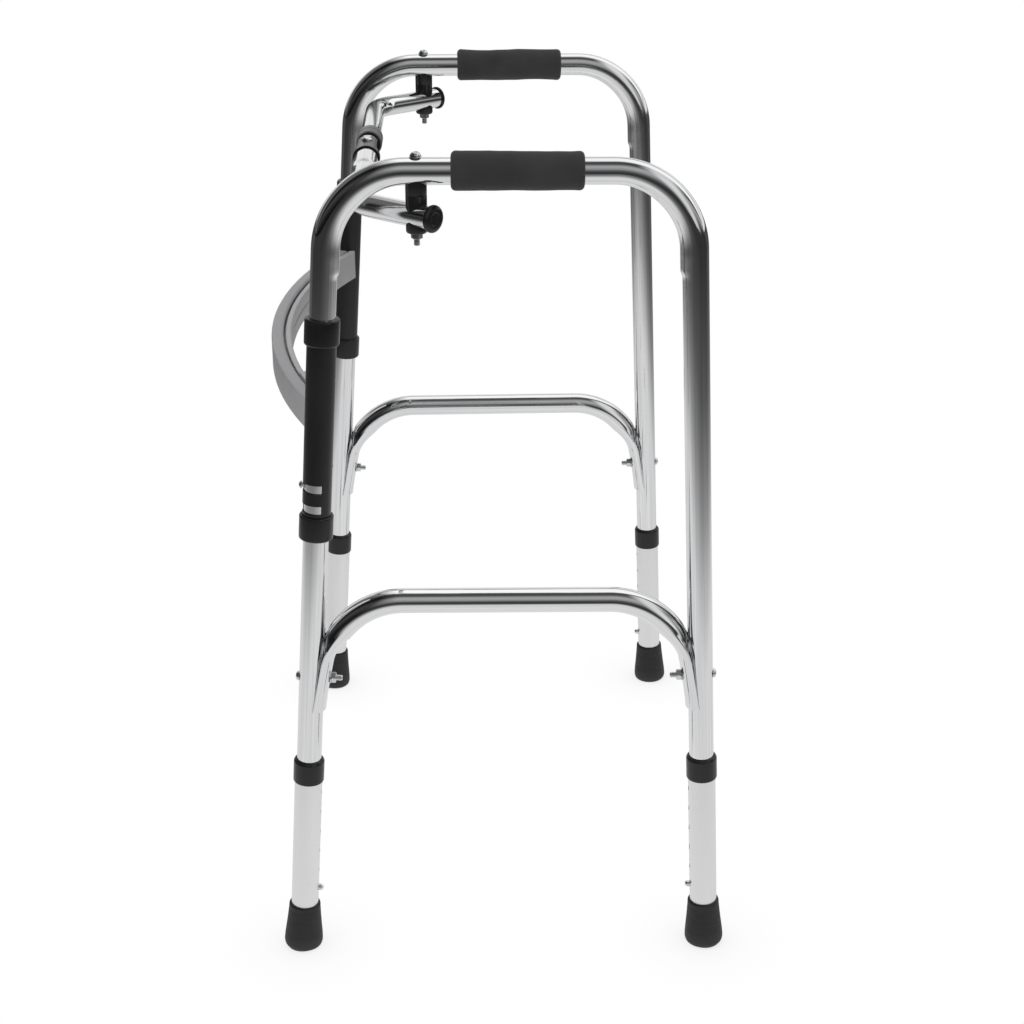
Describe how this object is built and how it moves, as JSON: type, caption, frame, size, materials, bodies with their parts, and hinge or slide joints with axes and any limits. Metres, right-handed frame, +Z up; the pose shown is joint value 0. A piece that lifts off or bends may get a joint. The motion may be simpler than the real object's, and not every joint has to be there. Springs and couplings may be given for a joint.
{
  "type": "folding walking frame",
  "caption": "Height-adjustable walking frame: two inverted-U side frames with foam grips, folding inwards on a bowed front link, held open by a hinged cross bar.",
  "frame": {"origin": "on the floor, midway between the four feet", "axes": "+Z up; the user faces -Y, so the front link is on the -Y side and the user's left hand is on +X"},
  "size_m": [0.643, 0.4808, 0.8533],
  "materials": {
    "polished_tube": "polished and clear anodised",
    "zinc_fastener": "zinc plated",
    "grip_foam": "closed-cell foam, matte",
    "black_plastic": "moulded, satin",
    "black_sleeve": "powder coated, semi-matte",
    "grey_cover": "satin grey",
    "grey_bar": "satin grey",
    "satin_extension": "satin anodised",
    "tip_rubber": "moulded, matte",
    "bright_button": "bright plated",
    "spring_steel": "plain spring steel"
  },
  "bodies": {
    "front_link": {"left_sleeve": "black_sleeve", "right_sleeve": "black_sleeve", "sleeve_collars": "black_plastic", "arch_cover": "grey_cover", "arch_bar": "grey_bar"},
    "left_side": {"left_side_tube": "polished_tube", "left_brace": "polished_tube", "left_brace_bolts": "zinc_fastener", "left_brace_nuts": "zinc_fastener", "left_grip": "grip_foam", "left_pivot_bolt": "zinc_fastener", "left_pivot_nut": "zinc_fastener", "left_upper_saddle": "black_plastic", "left_stop_pin": "zinc_fastener", "front_left_spring": "spring_steel", "rear_left_spring": "spring_steel"},
    "right_side": {"right_side_tube": "polished_tube", "right_brace": "polished_tube", "right_brace_bolts": "zinc_fastener", "right_brace_nuts": "zinc_fastener", "right_grip": "grip_foam", "right_pivot_bolt": "zinc_fastener", "right_pivot_nut": "zinc_fastener", "right_upper_saddle": "black_plastic", "right_stop_pin": "zinc_fastener", "front_right_spring": "spring_steel", "rear_right_spring": "spring_steel"},
    "left_bar": {"left_bar_tube": "polished_tube", "left_bar_cap": "black_plastic", "left_middle_saddle": "black_plastic", "left_lower_saddle": "black_plastic", "hinge_clevis": "black_plastic", "hinge_rivets": "zinc_fastener"},
    "right_bar": {"right_bar_tube": "polished_tube", "right_bar_cap": "black_plastic", "right_middle_saddle": "black_plastic", "right_lower_saddle": "black_plastic", "hinge_tongue": "black_plastic", "hinge_ring": "grey_cover"},
    "lock_button": {"lock_button": "bright_button"},
    "front_left_leg": {"front_left_extension": "satin_extension", "front_left_collar": "black_plastic", "front_left_tip": "tip_rubber"},
    "front_right_leg": {"front_right_extension": "satin_extension", "front_right_collar": "black_plastic", "front_right_tip": "tip_rubber"},
    "rear_left_leg": {"rear_left_extension": "satin_extension", "rear_left_collar": "black_plastic", "rear_left_tip": "tip_rubber"},
    "rear_right_leg": {"rear_right_extension": "satin_extension", "rear_right_collar": "black_plastic", "rear_right_tip": "tip_rubber"},
    "front_left_snap_button": {"front_left_button": "bright_button"},
    "front_right_snap_button": {"front_right_button": "bright_button"},
    "rear_left_snap_button": {"rear_left_button": "bright_button"},
    "rear_right_snap_button": {"rear_right_button": "bright_button"}
  },
  "joints": [
    {"name": "left_fold", "type": "hinge", "parent": "front_link", "child": "left_side", "pos_m": [0.28247, -0.17694, 0.59852], "axis": [-0.0209, 0.0654, 0.9976], "range_deg": [0, 91.2]},
    {"name": "right_fold", "type": "hinge", "parent": "front_link", "child": "right_side", "pos_m": [-0.28247, -0.17694, 0.59852], "axis": [-0.0209, -0.0654, -0.9976], "range_deg": [0, 76]},
    {"name": "left_bar_pivot", "type": "hinge", "parent": "left_side", "child": "left_bar", "pos_m": [0.27955, -0.07999, 0.79439], "axis": [-0.0218, 0, 0.9998], "range_deg": [-60, 0]},
    {"name": "right_bar_pivot", "type": "hinge", "parent": "right_side", "child": "right_bar", "pos_m": [-0.27955, -0.07999, 0.79439], "axis": [-0.0218, 0, -0.9998], "range_deg": [-40, 0]},
    {"name": "lock_press", "type": "slide", "parent": "left_bar", "child": "lock_button", "axis": [0, 0, -1], "range_m": [0, 0.0028], "stiffness_N_per_m": 800, "springref_m": -0.002},
    {"name": "front_left_height", "type": "slide", "parent": "left_side", "child": "front_left_leg", "axis": [0.0209, -0.0654, -0.9976], "range_m": [0, 0.118], "deforming": ["front_left_button", "front_left_spring"]},
    {"name": "front_right_height", "type": "slide", "parent": "right_side", "child": "front_right_leg", "axis": [-0.0209, -0.0654, -0.9976], "range_m": [0, 0.118], "deforming": ["front_right_button", "front_right_spring"]},
    {"name": "rear_left_height", "type": "slide", "parent": "left_side", "child": "rear_left_leg", "axis": [0.0225, 0.048, -0.9986], "range_m": [0, 0.118], "deforming": ["rear_left_button", "rear_left_spring"]},
    {"name": "rear_right_height", "type": "slide", "parent": "right_side", "child": "rear_right_leg", "axis": [-0.0225, 0.048, -0.9986], "range_m": [0, 0.118], "deforming": ["rear_right_button", "rear_right_spring"]},
    {"name": "front_left_button_press", "type": "slide", "parent": "left_side", "child": "front_left_snap_button", "axis": [-0.0154, -0.9978, 0.0651], "range_m": [0, 0.0069], "stiffness_N_per_m": 600, "springref_m": -0.003},
    {"name": "front_right_button_press", "type": "slide", "parent": "right_side", "child": "front_right_snap_button", "axis": [0.0154, -0.9978, 0.0651], "range_m": [0, 0.0069], "stiffness_N_per_m": 600, "springref_m": -0.003},
    {"name": "rear_left_button_press", "type": "slide", "parent": "left_side", "child": "rear_left_snap_button", "axis": [0.0129, 0.9988, 0.0483], "range_m": [0, 0.0069], "stiffness_N_per_m": 600, "springref_m": -0.003},
    {"name": "rear_right_button_press", "type": "slide", "parent": "right_side", "child": "rear_right_snap_button", "axis": [-0.0129, 0.9988, 0.0483], "range_m": [0, 0.0069], "stiffness_N_per_m": 600, "springref_m": -0.003}
  ],
  "couplings": [
    {"joint": "left_bar_pivot", "follows": "left_fold", "ratio": -0.6488},
    {"joint": "right_bar_pivot", "follows": "right_fold", "ratio": -0.4959}
  ]
}
